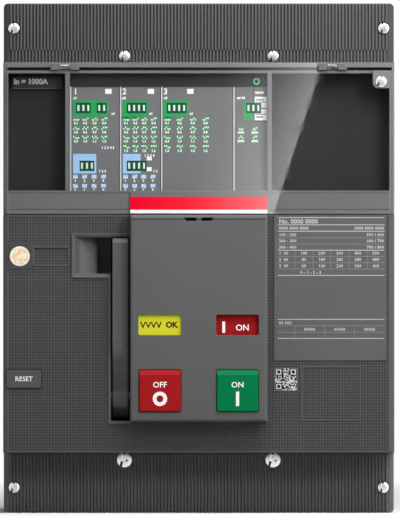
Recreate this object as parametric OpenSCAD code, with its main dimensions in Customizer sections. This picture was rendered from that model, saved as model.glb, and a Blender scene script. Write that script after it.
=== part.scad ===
// Molded case circuit breaker, three poles, with a spring charging lever, push
// buttons, a trip unit behind a hinged clear cover and ribbed terminal covers.
// Front faces -Y, +Z is up. The origin is the centre of the back mounting face.
// Depths ("_d") are distances from the back face, and heights inside the
// modules are counted from the lower edge of the case.

/* [Case] */
// Width over the three poles
body_w = 210; // [175:1:252]
// Height of the case
body_h = 274; // [228:1:330]
// Depth of the moulded base
base_d = 80; // [68:1:96]
// Depth of the main case, base and cover together
case_d = 134; // [124:1:160]
// Corner radius of the case outline
corner_r = 2.5; // [1:0.5:4]
// Radius of the long front edges
edge_r = 3; // [1:0.5:3.5]

/* [Poles and terminals] */
// Wall between two terminal bays
pole_wall = 18; // [16:1:22]
// Height of a terminal bay, from the end of the case
bay_h = 27; // [24:1:31]
// Depth at which a terminal lies on the base
seat_d = 58; // [46:1:62]
// Thickness of a terminal bar
terminal_t = 10; // [6:1:12]
// Side gap between a terminal and its bay
terminal_gap = 4; // [2:1:6]
// Diameter of the two bolt holes in a terminal
terminal_hole_d = 11; // [8:0.5:12]
// Width of the phase barrier slots between the poles
barrier_w = 4; // [3:0.5:5]
// How far a phase barrier slot runs in from the end
barrier_l = 18; // [14:1:20]
// Diameter of the fixing holes
fixing_d = 5.5; // [4.5:0.5:6.5]
// Diameter of the wells over the fixing holes
well_d = 10; // [9:0.5:11]
// Distance of the fixing holes from the end of the case
fixing_edge = 26; // [25:0.5:28]

/* [Terminal covers] */
// Height of the terminal cover zone at each end
cover_h = 32; // [30:1:39]
// Thickness of a terminal cover with its ribs
cover_t = 6; // [5:0.5:8]
// Height of the ribbed strip between the upper cover and the trip frame
strip_h = 7; // [6:0.5:9]
// Distance from one rib to the next
rib_pitch = 1.804; // [1.6:0.1:2.4]
// Height of a rib
rib_t = 0.9; // [0.5:0.1:1.2]
// Radius of the covers' outer edges
cover_r = 1.2; // [0.6:0.1:1.5]
// Distance of the corner screws from the sides
screw_edge = 5.7; // [5:0.1:8]
// Distance of the corner screws from the ends
screw_end = 13.5; // [10:0.5:15]
// Sideways place of the inner screws
inner_screw_x = 40; // [36:1:44]

/* [Front shield] */
// How far the shield stands in front of the main case
shield_t = 30; // [28:1:36]
// Seam between neighbouring mouldings
seam = 0.4; // [0.3:0.1:1]
// Height of the light rim over the clear cover
rim_h = 2.7; // [2:0.1:4]
// Depth of the rim behind the shield face
rim_drop = 2.6; // [2.2:0.1:3]
// Finger recess: width left of the lever slot
finger_w = 18.7; // [16:0.1:20]
// Finger recess: height
finger_h = 19.6; // [17:0.1:24]
// Finger recess: depth beside the lever
finger_t = 18; // [16:1:20]
// Finger recess: depth at the foot of its slope
finger_slope = 9; // [6:1:11]
// Finger recess: radius over which the slope rolls into the deep part
finger_roll = 8; // [4:0.5:8.5]
// Width of the smooth lip round the lever slot
lip_w = 1.4; // [1:0.1:1.6]
// Width of the lip round the finger recess
finger_lip = 2.2; // [1.6:0.1:2.6]
// Height of that lip
lip_t = 0.7; // [0.4:0.1:1]
// Radius of the shield's upper and lower front edges
shield_r = 0.7; // [0.5:0.1:2]

/* [Trip unit] */
// Width of the trip unit face
trip_w = 106; // [88:1:110]
// Height of the clear cover
clear_h = 77; // [70:1:84]
// Wall of the clear cover
clear_t = 2; // [1.5:0.1:2.2]
// How far the clear cover stands in front of the shield
clear_rise = 4; // [3.6:0.1:5]
// Dark groove over the clear cover
hinge_gap = 1.7; // [1.4:0.1:2.5]
// Plain band below the trip unit windows
band_h = 12.6; // [11:0.1:15]
// Width of the bars beside the trip unit face
bar_w = 2.4; // [1.6:0.1:3]
// Height of the black header over the trip unit face
header_h = 7; // [6:0.5:9]
// Depth of the trip unit face behind the shield face
face_drop = 4; // [3:0.5:6]
// Depth of the dark windows behind the shield face
window_drop = 12; // [8:1:16]
// Distance from one setting switch to the next
dip_w = 2.65; // [2.5:0.05:2.8]
// Height of a bank of setting switches
dip_h = 5.6; // [5:0.1:6]
// Depth of the pocket that a bank sits in
dip_drop = 1.6; // [1.2:0.1:2]

/* [Operating panel] */
// Width of the operating panel
panel_w = 73.6; // [70:0.1:78]
// How far the panel stands in front of the shield
panel_rise = 12; // [10:0.5:14]
// Field below the operating panel
panel_foot = 17.1; // [12:0.1:20]
// Side of the square push buttons
button_w = 22.2; // [20:0.1:24]
// Centre of the push buttons from the middle
button_x = 20.8; // [18.5:0.1:22]
// How far the buttons stand in front of the panel
button_rise = 1; // [1:0.5:2.5]
// Height of the slanted upper edge of a push button
button_bevel = 2.6; // [1.5:0.1:4]
// Small bevel on the other edges of a push button
button_edge = 0.4; // [0.2:0.1:0.8]
// Running gap round a push button
button_gap = 0.4; // [0.3:0.1:0.8]
// Diameter of a push button's guide stem
stem_d = 8; // [6:0.5:10]
// Width of the indicator windows
flag_w = 23; // [18:0.5:24]
// Height of the indicator windows
flag_h = 11; // [9:0.5:13]
// Radius of the panel's front edges
panel_r = 1.5; // [0.8:0.1:2.5]

/* [Charging lever] */
// Width of the lever
lever_w = 8.5; // [7:0.1:10.4]
// Side gap between the lever and its slot
lever_gap = 0.95; // [0.6:0.05:1.3]
// How far the lever stands in front of the shield
lever_rise = 4; // [2:0.5:5]
// Thickness of the handle
lever_t = 10; // [8:0.5:12]
// Radius of the lever's hub
hub_r = 12; // [10:0.5:12.5]
// Radius of the heel, where the handle's front rolls back above the hub
heel_r = 18; // [14:0.5:20]
// Radius of the hollow between the heel and the hub
hollow_r = 20; // [16:0.5:24]
// Diameter of the lever's pin
pin_d = 6; // [5:0.5:8]
// Radial running clearance on the pins
run_gap = 0.1; // [0.05:0.01:0.1]

/* [Hidden] */
$fn = 64;
e = 0.01;
pole_w = body_w / 3;
bay_w = pole_w - pole_wall;
terminal_w = bay_w - 2 * terminal_gap;
nut_depth = 16;
vent_t = 4;
vent_count = floor((case_d - base_d - 12) / 7);
cover_d = case_d + cover_t;
rib_root_d = cover_d - rib_t;
shield_d = case_d + shield_t;
clear_d = shield_d + clear_rise;
panel_d = shield_d + panel_rise;
side_x = body_w / 2;

// heights, from the lower edge of the case
field_z0 = cover_h + seam;
frame_z1 = body_h - cover_h;
rim_z0 = frame_z1 - rim_h;
clear_z1 = rim_z0 - hinge_gap;
clear_z0 = clear_z1 - clear_h;
window_z0 = clear_z0 + band_h;
window_z1 = clear_z1 - 1.5;
window_h = window_z1 - window_z0;
panel_z0 = field_z0 + panel_foot;
panel_z1 = clear_z0 - seam;
plate_z1 = frame_z1 - 0.3;

// sideways places
panel_x = panel_w / 2;
trip_x1 = panel_x;
trip_x0 = trip_x1 - trip_w;
left_x1 = trip_x0 - bar_w;
right_x0 = trip_x1 + bar_w;
face_d = shield_d - face_drop;
window_d = shield_d - window_drop;
floor_d = window_d + 0.6;
window_x = side_x - 2.6;

// clear cover and its hinges
clear_gap = 0.4;
return_gap = 2 * clear_gap;
return_d = clear_d - 8;
groove_d = shield_d - 10;
hinge_z = clear_z1 + 2.1;
hinge_d = clear_d - 3.5;
knuckle_r = 2;
hinge_pin_d = 2;
hinge_x = 71.8;
hinge_w = 16;
knuckle_w = 5;
frame_x = side_x - clear_t - clear_gap;
tab_w = 9;
tab_h = 9.5;
stripe_rise = 0.8;

// lever slot and lever
slot_w = lever_w + 2 * lever_gap;
slot_x1 = -panel_x;
slot_x0 = slot_x1 - slot_w;
slot_z1 = panel_z1 - 12;
lever_x = (slot_x0 + slot_x1) / 2;
pin_grip = 8;
pivot_z = panel_z0 + hub_r + 1;
pivot_d = case_d + 2 + hub_r;
lever_face = shield_d + lever_rise - pivot_d;
lever_top = slot_z1 - 0.6 - pivot_z;

// the heel and the hollow in the lever's front, which runs on into the hub: centres
// as [forward, up] from the pivot
merge = 0.3;
heel = [lever_face - heel_r, 2.5 * hub_r];
heel_far = norm(heel);
to_hub = hollow_r + hub_r - merge;
to_heel = hollow_r + heel_r - merge;
along = (to_hub * to_hub - to_heel * to_heel + heel_far * heel_far) / (2 * heel_far);
aside = sqrt(to_hub * to_hub - along * along);
hollow = (along * heel + aside * [heel[1], -heel[0]]) / heel_far;
finger_z0 = slot_z1 - finger_h;
finger_x0 = slot_x0 - finger_w;

// push buttons
button_z = panel_z0 + 16.4;
stem_l = 16;
stem_gap = 0.3;
button_travel = 4;
button_t = panel_rise + button_rise - button_travel - 1;
flag_z = panel_z0 + 51.7;
spring_drop = 1.2;
contact_drop = 3.2;
flag_t = 2.4;
lamp_slot_t = 9;

// small plates on the field
reset_x0 = -side_x + 1.8;
reset_w = 18.8;
reset_z = panel_z0 + 22.7;
reset_h = 9.8;
reset_gap = 0.3;
seal_x = -side_x + 9;
seal_z = panel_z1 - 22.2;
seal_d = 10.6;
seal_sink = 0.8;
data_x1 = side_x - 18;
data_x0 = panel_x + 18;
data_z0 = panel_z0 + 0.2;
data_h = 29.3;
outline_w = 0.7;
blank_x0 = -side_x + 15.7;
blank_x1 = finger_x0 - finger_lip - 1.4;
blank_h = 10.6;
blank_sink = 0.5;
name_x0 = panel_x + 3.6;
name_x1 = side_x - 4.3;
name_z0 = data_z0 + data_h + 3;

// Banks of setting switches: [left edge and drop of its middle, as shares of the
// face's width and height, and how many switches it has]
dip_banks = [[0.031, 0.296, 3], [0.136, 0.296, 2], [0.288, 0.296, 4], [0.491, 0.296, 4],
             [0.892, 0.296, 3], [0.049, 0.789, 3], [0.288, 0.789, 4]];
// Grooves between the columns of the trip unit's face, as shares of its width
column_x = [0.004, 0.249, 0.457, 0.823];
column_groove = 0.7;

// ---- shared shapes -------------------------------------------------------

// Moves heights counted from the lower edge to the centred frame
module upright() {
    translate([0, 0, -body_h / 2]) children();
}

// A block between two x, two heights and two depths
module block(x0, x1, z0, z1, d0, d1) {
    translate([x0, -d1, z0]) cube([x1 - x0, d1 - d0, z1 - z0]);
}

// Rectangle with round corners, from its lower left corner
module round_rect(w, h, r) {
    translate([r, 0]) square([w - 2 * r, h]);
    translate([0, r]) square([w, h - 2 * r]);
    for (x = [r, w - r], y = [r, h - r]) translate([x, y]) circle(r);
}

// A plate with round corners seen from the front
module plate(x0, x1, z0, z1, d0, d1, r) {
    translate([x0, -d0, z0]) rotate([90, 0, 0]) linear_extrude(d1 - d0)
        round_rect(x1 - x0, z1 - z0, r);
}

// A round bar along the depth
module rod(x, z, d0, d1, dia) {
    translate([x, -d0, z]) rotate([90, 0, 0]) cylinder(h = d1 - d0, d = dia);
}

// Cross-section with round front edges, from the back depth to the front
module front_section(x, d0, d1, r) {
    intersection() {
        translate([-x, -d1]) square([2 * x, d1 - d0]);
        union() {
            translate([-x, -d1 + r]) square([2 * x, d1 - d0]);
            translate([-x + r, -d1]) square([2 * (x - r), d1 - d0]);
            for (s = [-1, 1]) translate([s * (x - r), -d1 + r]) circle(r);
        }
    }
}

// A moulding that spans the width, with round front edges
module moulding(x, z0, z1, d0, d1, r) {
    translate([0, 0, z0]) linear_extrude(z1 - z0) front_section(x, d0, d1, r);
}

// A side outline [y, z], run along the width
module across(x) {
    translate([-x, 0, 0]) rotate([90, 0, 90]) linear_extrude(2 * x) children();
}

// Keeps the front edges of a moulding round at its two ends
module end_rounds(z0, z1, d1, r) {
    intersection() {
        union() children();
        across(side_x + 1) translate([-d1, z0]) round_rect(d1 + r, z1 - z0, r);
    }
}

// Trims a moulding to the round corners of the case outline
module outline() {
    intersection() {
        plate(-side_x, side_x, 0, body_h, 0, panel_d + 20, corner_r);
        union() children();
    }
}

// Ribbed face: teeth along the width, run along the height. One rib fewer moves
// them all by half a pitch.
module ribbed(z0, z1, fewer) {
    margin = 3;
    count = floor((body_w - 2 * margin) / rib_pitch) - fewer;
    start = -(count - 1) / 2 * rib_pitch;
    crest = rib_pitch * 0.4;
    root = rib_pitch * 0.62;
    tooth = [[-root, 0], [-crest, rib_t], [crest, rib_t], [root, 0]];
    translate([0, 0, z0]) linear_extrude(z1 - z0) {
        polygon(concat(
            [[-side_x + margin, -case_d]],
            [for (i = [0:count - 1], p = tooth)
                [start + i * rib_pitch + p[0] / 2, -rib_root_d - p[1]]],
            [[side_x - margin, -case_d]]));
        front_section(side_x, case_d, rib_root_d, edge_r);
    }
}

// Round seat sunk in the ribs for a screw head
module screw_seat(x, z, dia) {
    rod(x, z, rib_root_d - 0.6, cover_d + 1, dia);
}

// ---- case ----------------------------------------------------------------

// Everything that is cut from both halves of the case at its two ends
module end_cuts(d0, d1) {
    for (z0 = [-1, body_h - bay_h], i = [-1:1])
        block(i * pole_w - bay_w / 2, i * pole_w + bay_w / 2, z0, z0 + bay_h + 1,
              max(d0, seat_d), d1);
    for (z0 = [-1, body_h - barrier_l], s = [-1, 1])
        block(s * pole_w / 2 - barrier_w / 2, s * pole_w / 2 + barrier_w / 2,
              z0, z0 + barrier_l + 1, max(d0, seat_d / 2), d1);
    for (z = [fixing_edge, body_h - fixing_edge], s = [-1, 1])
        rod(s * pole_w / 2, z, max(d0, 12), d1, well_d);
}

module base() {
    color("#3b3c3e") upright() difference() {
        outline() block(-side_x, side_x, 0, body_h, 0, base_d);
        end_cuts(0, base_d + 1);
        for (z = [fixing_edge, body_h - fixing_edge], s = [-1, 1])
            rod(s * pole_w / 2, z, -1, 13, fixing_d);
        for (z = [1 + bay_h / 2, body_h - bay_h / 2], i = [-1:1], s = [-1, 1])
            rod(i * pole_w + s * terminal_w / 4, z, seat_d - nut_depth, seat_d + 1,
                terminal_hole_d);
    }
}

// Arc vents: a row of slots in the inner wall of each bay
module arc_vents(z, into) {
    pitch = 7;
    for (i = [-1:1], k = [0:vent_count - 1])
        translate([i * pole_w, -base_d - 8 - k * pitch, z + into * vent_t / 2])
            cube([bay_w - 8, 3, vent_t + 2 * e], center = true);
}

module main_cover() {
    color("#444548") upright() difference() {
        outline() block(-side_x, side_x, 0, body_h, base_d, case_d);
        end_cuts(base_d - 1, case_d + 1);
        arc_vents(bay_h, 1);
        arc_vents(body_h - bay_h, -1);
    }
}

module terminal(i, z0) {
    x0 = i * pole_w - terminal_w / 2;
    color("#b87345") upright() difference() {
        plate(x0, x0 + terminal_w, z0, z0 + bay_h - 1, seat_d, seat_d + terminal_t, 1);
        for (s = [-1, 1])
            rod(i * pole_w + s * terminal_w / 4, z0 + bay_h / 2, seat_d - 1,
                seat_d + terminal_t + 1, terminal_hole_d);
    }
}

module upper_terminal(i) {
    terminal(i, body_h - bay_h);
}

module lower_terminal(i) {
    terminal(i, 1);
}

// ---- terminal covers -----------------------------------------------------

module top_cover() {
    z0 = frame_z1 + strip_h;
    color("#56575a") upright() outline() difference() {
        end_rounds(z0 - cover_r, body_h, cover_d, cover_r) ribbed(z0, body_h, 0);
        for (s = [-1, 1])
            screw_seat(s * (side_x - screw_edge), body_h - screw_end, 7);
    }
}

module rib_strip() {
    color("#56575a") upright() difference() {
        ribbed(frame_z1, frame_z1 + strip_h, 1);
        for (s = [-1, 1]) screw_seat(s * inner_screw_x, frame_z1 + strip_h / 2, 6.2);
    }
}

module bottom_cover() {
    color("#48494c") upright() outline() difference() {
        end_rounds(0, cover_h, cover_d, cover_r) ribbed(0, cover_h, 0);
        for (s = [-1, 1]) {
            screw_seat(s * (side_x - screw_edge), screw_end, 7);
            screw_seat(s * inner_screw_x, cover_h - 5, 9);
        }
    }
}

// ---- front shield --------------------------------------------------------

// The finger recess beside the lever: a slope that rolls over into a deep part
module finger_recess() {
    step_x = slot_x0 - 7;
    front_y = -shield_d - 2;
    foot = [step_x, -shield_d + finger_slope];
    fall = atan2(finger_slope, step_x - finger_x0);
    roll_y = -shield_d + (finger_roll + sin(fall) * (step_x - finger_roll - finger_x0)) / cos(fall);
    roll = [step_x - finger_roll, roll_y];
    translate([0, 0, finger_z0]) linear_extrude(finger_h) {
        polygon([[finger_x0, front_y], [finger_x0, -shield_d], foot,
                 [step_x, -shield_d + finger_t], [slot_x1, -shield_d + finger_t],
                 [slot_x1, front_y]]);
        difference() {
            polygon([roll, roll + finger_roll * [sin(fall), -cos(fall)], foot,
                     [step_x, roll_y]]);
            translate(roll) circle(finger_roll);
        }
    }
}

// The slanted inner side of the recess's lip, with mitred corners
module finger_bevel() {
    wide = finger_lip - 0.5;
    front_d = shield_d + lip_t;
    z1 = finger_z0 + finger_h;
    intersection() {
        translate([0, 0, finger_z0 - wide]) linear_extrude(finger_h + 2 * wide)
            polygon([[finger_x0, -shield_d], [finger_x0 - wide, -front_d],
                     [finger_x0 - wide, -front_d - 1], [slot_x1, -front_d - 1],
                     [slot_x1, -shield_d]]);
        across(side_x)
            polygon([[-shield_d, finger_z0], [-front_d, finger_z0 - wide],
                     [-front_d - 1, finger_z0 - wide], [-front_d - 1, z1 + wide],
                     [-front_d, z1 + wide], [-shield_d, z1]]);
    }
}

// Outline of the lip round the lever slot and the finger recess
module slot_outline() {
    translate([slot_x0 - lip_w, panel_z0 - lip_w])
        square([slot_w + lip_w, slot_z1 - panel_z0 + lip_w]);
    translate([finger_x0 - finger_lip, finger_z0 - finger_lip])
        square([finger_w + slot_w + finger_lip, finger_h + 2 * finger_lip]);
}

module front_shield() {
    color("#4b4c4f") upright() difference() {
        union() {
            end_rounds(field_z0, clear_z0 - seam, shield_d, shield_r)
                moulding(side_x, field_z0, clear_z0 - seam, case_d, shield_d, edge_r);
            translate([0, -shield_d + 1, 0]) rotate([90, 0, 0])
                linear_extrude(lip_t + 1) slot_outline();
        }
        block(slot_x0, slot_x1, panel_z0, slot_z1, case_d, panel_d);
        finger_recess();
        finger_bevel();
        block(blank_x0 + outline_w + 0.3, blank_x1 - outline_w - 0.3,
              seal_z - blank_h / 2 + outline_w + 0.3, seal_z + blank_h / 2 - outline_w - 0.3,
              shield_d - blank_sink, shield_d + 1);
        for (s = [-1, 1])
            rod(s * button_x, button_z, shield_d - stem_l - button_travel - 1, shield_d + 1,
                stem_d + 2 * stem_gap);
        plate(reset_x0 - reset_gap, reset_x0 + reset_w + reset_gap,
              reset_z - reset_h / 2 - reset_gap, reset_z + reset_h / 2 + reset_gap,
              shield_d - 10, shield_d + 1, 0.8);
        rod(seal_x, seal_z, shield_d - seal_sink, shield_d + 1, seal_d + 0.6);
        translate([slot_x0 - pin_grip, -pivot_d, pivot_z]) rotate([0, 90, 0])
            cylinder(h = slot_w + 2 * pin_grip, d = pin_d);
    }
}

module lever_pin() {
    color("silver") upright() translate([slot_x0 - pin_grip, -pivot_d, pivot_z])
        rotate([0, 90, 0]) cylinder(h = slot_w + 2 * pin_grip, d = pin_d);
}

// Side outline of the lever round its pin: [forward, up]. The handle's front rolls
// round its heel into the hollow, and the hollow runs out on the hub.
module lever_outline() {
    back = lever_face - lever_t;
    difference() {
        union() {
            circle(hub_r);
            polygon([[0, 0], lever_face / hollow[0] * hollow,
                     [lever_face, lever_top - 2], [lever_face - 2, lever_top],
                     [back + 2, lever_top], [back, lever_top - 2], [back, heel[1]],
                     [-hub_r * cos(40), hub_r * sin(40)]]);
        }
        translate(hollow) circle(hollow_r);
        difference() {
            polygon([heel, hollow, [hollow[0], heel[1]]]);
            translate(heel) circle(heel_r);
        }
    }
}

module charging_lever() {
    color("#414245") upright() translate([lever_x, -pivot_d, pivot_z]) difference() {
        rotate([90, 0, -90]) linear_extrude(lever_w, center = true) lever_outline();
        rotate([0, 90, 0]) cylinder(h = lever_w + 2, d = pin_d + 2 * run_gap, center = true);
        // grip hollow in the back of the handle
        translate([0, -lever_face + lever_t, lever_top - 12]) rotate([0, 90, 0])
            cylinder(h = lever_w + 2, r = 3, center = true);
    }
}

module reset_button() {
    color("#4f5053") upright() {
        plate(reset_x0, reset_x0 + reset_w, reset_z - reset_h / 2, reset_z + reset_h / 2,
              shield_d - 6, shield_d + 0.8, 0.6);
    }
}

// ---- trip unit -----------------------------------------------------------

// Tab for the shield's corner screw, round at its lower inner corner
module screw_tab(d0, d1) {
    r = 3;
    x0 = window_x - tab_w;
    z0 = clear_z1 - tab_h;
    translate([0, -d0, 0]) rotate([90, 0, 0]) linear_extrude(d1 - d0) {
        translate([x0 + r, z0]) square([tab_w - r, tab_h]);
        translate([x0, z0 + r]) square([tab_w, tab_h - r]);
        translate([x0 + r, z0 + r]) circle(r);
    }
}

module trip_housing() {
    color("#4b4c4f") upright() moulding(side_x, clear_z0, frame_z1, case_d, window_d, 0.6);
}

module trip_frame() {
    color("#606164") upright() difference() {
        union() {
            moulding(side_x, clear_z0, frame_z1, window_d, return_d - return_gap, 1);
            block(-frame_x, frame_x, clear_z0, clear_z1, return_d - 1, shield_d);
            block(-frame_x, frame_x, rim_z0, frame_z1, return_d - 2, shield_d - rim_drop);
            block(-panel_x, panel_x, clear_z0, window_z0 - 0.6, shield_d - 1,
                  shield_d + stripe_rise);
            screw_tab(window_d, clear_d - 0.5);
        }
        block(-window_x, left_x1, window_z0, window_z1, window_d - 1, shield_d + 1);
        block(trip_x0, trip_x1, window_z0, window_z1, window_d - 1, shield_d + 1);
        difference() {
            block(right_x0, window_x, window_z0, window_z1, window_d - 1, shield_d + 1);
            screw_tab(0, clear_d);
        }
        block(-frame_x - 1, frame_x + 1, clear_z1, rim_z0, groove_d, clear_d);
        for (z = [clear_z0 + 2.2, window_z0 - 1.6], s = [0, 1]) mirror([s, 0, 0])
            block(panel_x, frame_x + 1, z, z + 0.4, shield_d - 0.3, shield_d + 1);
    }
}

module trip_unit() {
    color("#85868a") upright() difference() {
        block(trip_x0, trip_x1, window_z0, window_z1 - header_h, window_d, face_d);
        for (b = dip_banks) bank(b, face_d - dip_drop, face_d + 1);
        for (share = column_x)
            block(trip_x0 + trip_w * share, trip_x0 + trip_w * share + column_groove,
                  window_z0 - 1, window_z1 - header_h + 1, face_d - column_groove, face_d + 1);
    }
}

module trip_header() {
    color("#1d1d1f") upright()
        block(trip_x0, trip_x1, window_z1 - header_h, window_z1, window_d, face_d + 0.4);
}

module rating_plate() {
    color("#2a2a2c") upright()
        plate(-window_x + 2.2, left_x1 - 2, window_z1 - 8, window_z1 - 1.8,
              floor_d, floor_d + 2, 0.5);
}

module left_window() {
    color("#262628") upright()
        block(-window_x, left_x1, window_z0, window_z1, window_d, floor_d);
}

module right_window() {
    color("#333336") upright() difference() {
        block(right_x0, window_x, window_z0, window_z1, window_d, floor_d);
        screw_tab(0, clear_d);
    }
}

// A bank of setting switches, between two depths
module bank(b, d0, d1) {
    x = trip_x0 + trip_w * b[0];
    z = window_z1 - window_h * b[1];
    block(x, x + b[2] * dip_w, z - dip_h / 2, z + dip_h / 2, d0, d1);
}

// The upright opening of one switch, from a low to a high share of the bank's height
module switch_slot(b, i, z0, z1, d0, d1) {
    x = trip_x0 + trip_w * b[0] + (i + 0.5) * dip_w;
    z = window_z1 - window_h * b[1];
    block(x - dip_w * 0.2, x + dip_w * 0.2, z + dip_h * z0, z + dip_h * z1, d0, d1);
}

module dip_windows() {
    color("#0d5a3a") upright() for (b = dip_banks) difference() {
        bank(b, face_d - dip_drop, face_d - 0.3);
        for (i = [0:b[2] - 1]) switch_slot(b, i, -0.34, 0.34, face_d - 1, face_d);
    }
}

module dip_toggles() {
    color("white") upright() for (b = dip_banks, i = [0:b[2] - 1])
        switch_slot(b, i, -0.28, 0.3, face_d - 1, face_d + 0.2);
}

module clear_cover() {
    notch_z0 = hinge_z - knuckle_r - 1.2;
    color([0.8, 0.85, 0.9, 0.35]) upright() difference() {
        union() {
            difference() {
                moulding(side_x, clear_z0, plate_z1, return_d, clear_d, edge_r);
                moulding(side_x - clear_t, clear_z0 - 1, plate_z1 + 1, return_d - 1,
                         clear_d - clear_t, 1);
                for (s = [-1, 1])
                    block(s * hinge_x - hinge_w / 2 - 0.5, s * hinge_x + hinge_w / 2 + 0.5,
                          notch_z0, plate_z1 + 1, return_d, clear_d + 1);
            }
            for (s = [-1, 1]) {
                translate([s * hinge_x - knuckle_w / 2, -hinge_d, hinge_z])
                    rotate([0, 90, 0]) cylinder(h = knuckle_w, r = knuckle_r);
                block(s * hinge_x - knuckle_w / 2, s * hinge_x + knuckle_w / 2,
                      notch_z0 - 1, hinge_z, clear_d - clear_t, clear_d);
            }
        }
        block(window_x - tab_w - 0.5, side_x + 1, clear_z1 - tab_h - 0.5, plate_z1 + 1,
              return_d - 1, clear_d + 1);
        for (s = [-1, 1]) translate([s * hinge_x - knuckle_w, -hinge_d, hinge_z])
            rotate([0, 90, 0]) cylinder(h = 2 * knuckle_w, d = hinge_pin_d + 2 * run_gap);
    }
}

// Two tapered ears and the pin between them
module cover_hinge() {
    inner = knuckle_w / 2 + 0.4;
    outer = hinge_w / 2;
    ear_z1 = hinge_z + 1.6;
    rim_d = shield_d - rim_drop;
    for (t = [0, 1]) mirror([t, 0, 0]) translate([0, -rim_d, 0]) rotate([90, 0, 0])
        linear_extrude(hinge_d + 1.2 - rim_d)
        polygon([[inner, clear_z1 + 0.3], [outer, clear_z1 + 0.3],
                 [outer - 1.5, ear_z1], [inner, ear_z1]]);
    translate([-outer + 2, -hinge_d, hinge_z]) rotate([0, 90, 0])
        cylinder(h = hinge_w - 4, d = hinge_pin_d);
}

module cover_hinges() {
    color("#77787b") upright() for (s = [-1, 1]) translate([s * hinge_x, 0, 0])
        cover_hinge();
}

module stripe_band() {
    color("#e0142c") upright()
        block(-panel_x, panel_x, clear_z0 + 2.4, clear_z0 + 9.2, shield_d + stripe_rise,
              shield_d + stripe_rise + 0.4);
}

module stripe_line() {
    color("white") upright()
        block(-panel_x, panel_x, clear_z0 + 0.4, clear_z0 + 2.3, shield_d + stripe_rise,
              shield_d + stripe_rise + 0.3);
}

// ---- operating panel -----------------------------------------------------

module operating_panel() {
    color("#606164") upright() difference() {
        intersection() {
            translate([0, 0, panel_z0]) linear_extrude(panel_z1 - panel_z0)
                front_section(panel_x, shield_d, panel_d, panel_r);
            across(panel_x + 1) translate([-panel_d, panel_z0])
                round_rect(panel_rise + panel_r, panel_z1 - panel_z0, panel_r);
        }
        for (s = [-1, 1]) {
            plate(s * button_x - button_w / 2 - button_gap, s * button_x + button_w / 2 + button_gap,
                  button_z - button_w / 2 - button_gap, button_z + button_w / 2 + button_gap,
                  shield_d - 1, panel_d + 1, 1);
        }
        flag(-1, panel_d - spring_drop - flag_t, panel_d + 1);
        flag(1, panel_d - contact_drop - flag_t, panel_d + 1);
        // two lamp slots under the upper edge, each slanted at its outer end
        for (t = [0, 1]) mirror([t, 0, 0])
            translate([0, -panel_d + lamp_slot_t, 0]) rotate([90, 0, 0])
            linear_extrude(lamp_slot_t + 1)
            polygon([[1.4, panel_z1 - 3.3], [6.6, panel_z1 - 3.3],
                     [8, panel_z1 - 1.6], [1.4, panel_z1 - 1.6]]);
        block(-panel_x + 1, panel_x - 1, panel_z1 - 2.8, panel_z1 - 2.4, panel_d - 0.4,
              panel_d + 1);
    }
}

// An indicator flag over its button, or the window it fills, between two depths
module flag(s, d0, d1) {
    plate(s * button_x - flag_w / 2, s * button_x + flag_w / 2,
          flag_z - flag_h / 2, flag_z + flag_h / 2, d0, d1, 1);
}

module spring_flag() {
    color("#d8d72c") upright()
        flag(-1, panel_d - spring_drop - flag_t, panel_d - spring_drop);
}

module contact_flag() {
    color("#b01a1e") upright()
        flag(1, panel_d - contact_drop - flag_t, panel_d - contact_drop);
}

module push_button(s) {
    back_d = panel_d + button_rise - button_t;
    front_d = panel_d + button_rise;
    half = button_w / 2;
    edge = button_edge;
    slant_t = button_bevel * 0.45;
    upright() translate([s * button_x, 0, button_z]) {
        intersection() {
            translate([0, 0, -half]) linear_extrude(button_w)
                polygon([[-half, -back_d], [-half, -front_d + edge], [-half + edge, -front_d],
                         [half - edge, -front_d], [half, -front_d + edge], [half, -back_d]]);
            across(half + 1)
                polygon([[-back_d, -half], [-front_d + edge, -half], [-front_d, -half + edge],
                         [-front_d, half - button_bevel], [-front_d + slant_t, half],
                         [-back_d, half]]);
        }
        rod(0, 0, shield_d - stem_l, back_d + 1, stem_d);
    }
}

module off_button() {
    color("#b4191c") push_button(-1);
}

module on_button() {
    color("#00875a") push_button(1);
}

// ---- plates on the field -------------------------------------------------

module nameplate() {
    color("#66676a") upright()
        plate(name_x0, name_x1, name_z0, panel_z1 - 0.2, shield_d, shield_d + 0.4, 0.8);
}

// A thin raised outline round a place for a label
module raised_outline(x0, x1, z0, z1) {
    difference() {
        plate(x0, x1, z0, z1, shield_d, shield_d + 0.3, 0.6);
        block(x0 + outline_w, x1 - outline_w, z0 + outline_w, z1 - outline_w, shield_d - 1,
              shield_d + 1);
    }
}

module data_label() {
    color("#58595c") upright()
        raised_outline(data_x0, data_x1, data_z0, data_z0 + data_h);
}

module seal_plate() {
    color("#58595c") upright() difference() {
        block(-side_x + 2.7, -side_x + 15.4, seal_z - 6.9, seal_z + 6.9, shield_d,
              shield_d + 0.3);
        rod(seal_x, seal_z, shield_d - 1, shield_d + 1, seal_d + 0.6);
    }
}

module seal_disc() {
    color("#e8dcc0") upright() rod(seal_x, seal_z, shield_d - 0.8, shield_d + 0.6, seal_d);
}

module blank_plate() {
    color("#58595c") upright()
        raised_outline(blank_x0, blank_x1, seal_z - blank_h / 2, seal_z + blank_h / 2);
}

base();
main_cover();
front_shield();
trip_housing();
trip_frame();
top_cover();
rib_strip();
bottom_cover();
operating_panel();
trip_unit();
trip_header();
rating_plate();
dip_windows();
dip_toggles();
left_window();
right_window();
clear_cover();
cover_hinges();
stripe_band();
stripe_line();
spring_flag();
contact_flag();
off_button();
on_button();
reset_button();
charging_lever();
lever_pin();
nameplate();
data_label();
seal_plate();
seal_disc();
blank_plate();
upper_terminal(-1);  // upper_terminal_1
upper_terminal(0);  // upper_terminal_2
upper_terminal(1);  // upper_terminal_3
lower_terminal(-1);  // lower_terminal_1
lower_terminal(0);  // lower_terminal_2
lower_terminal(1);  // lower_terminal_3
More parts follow.
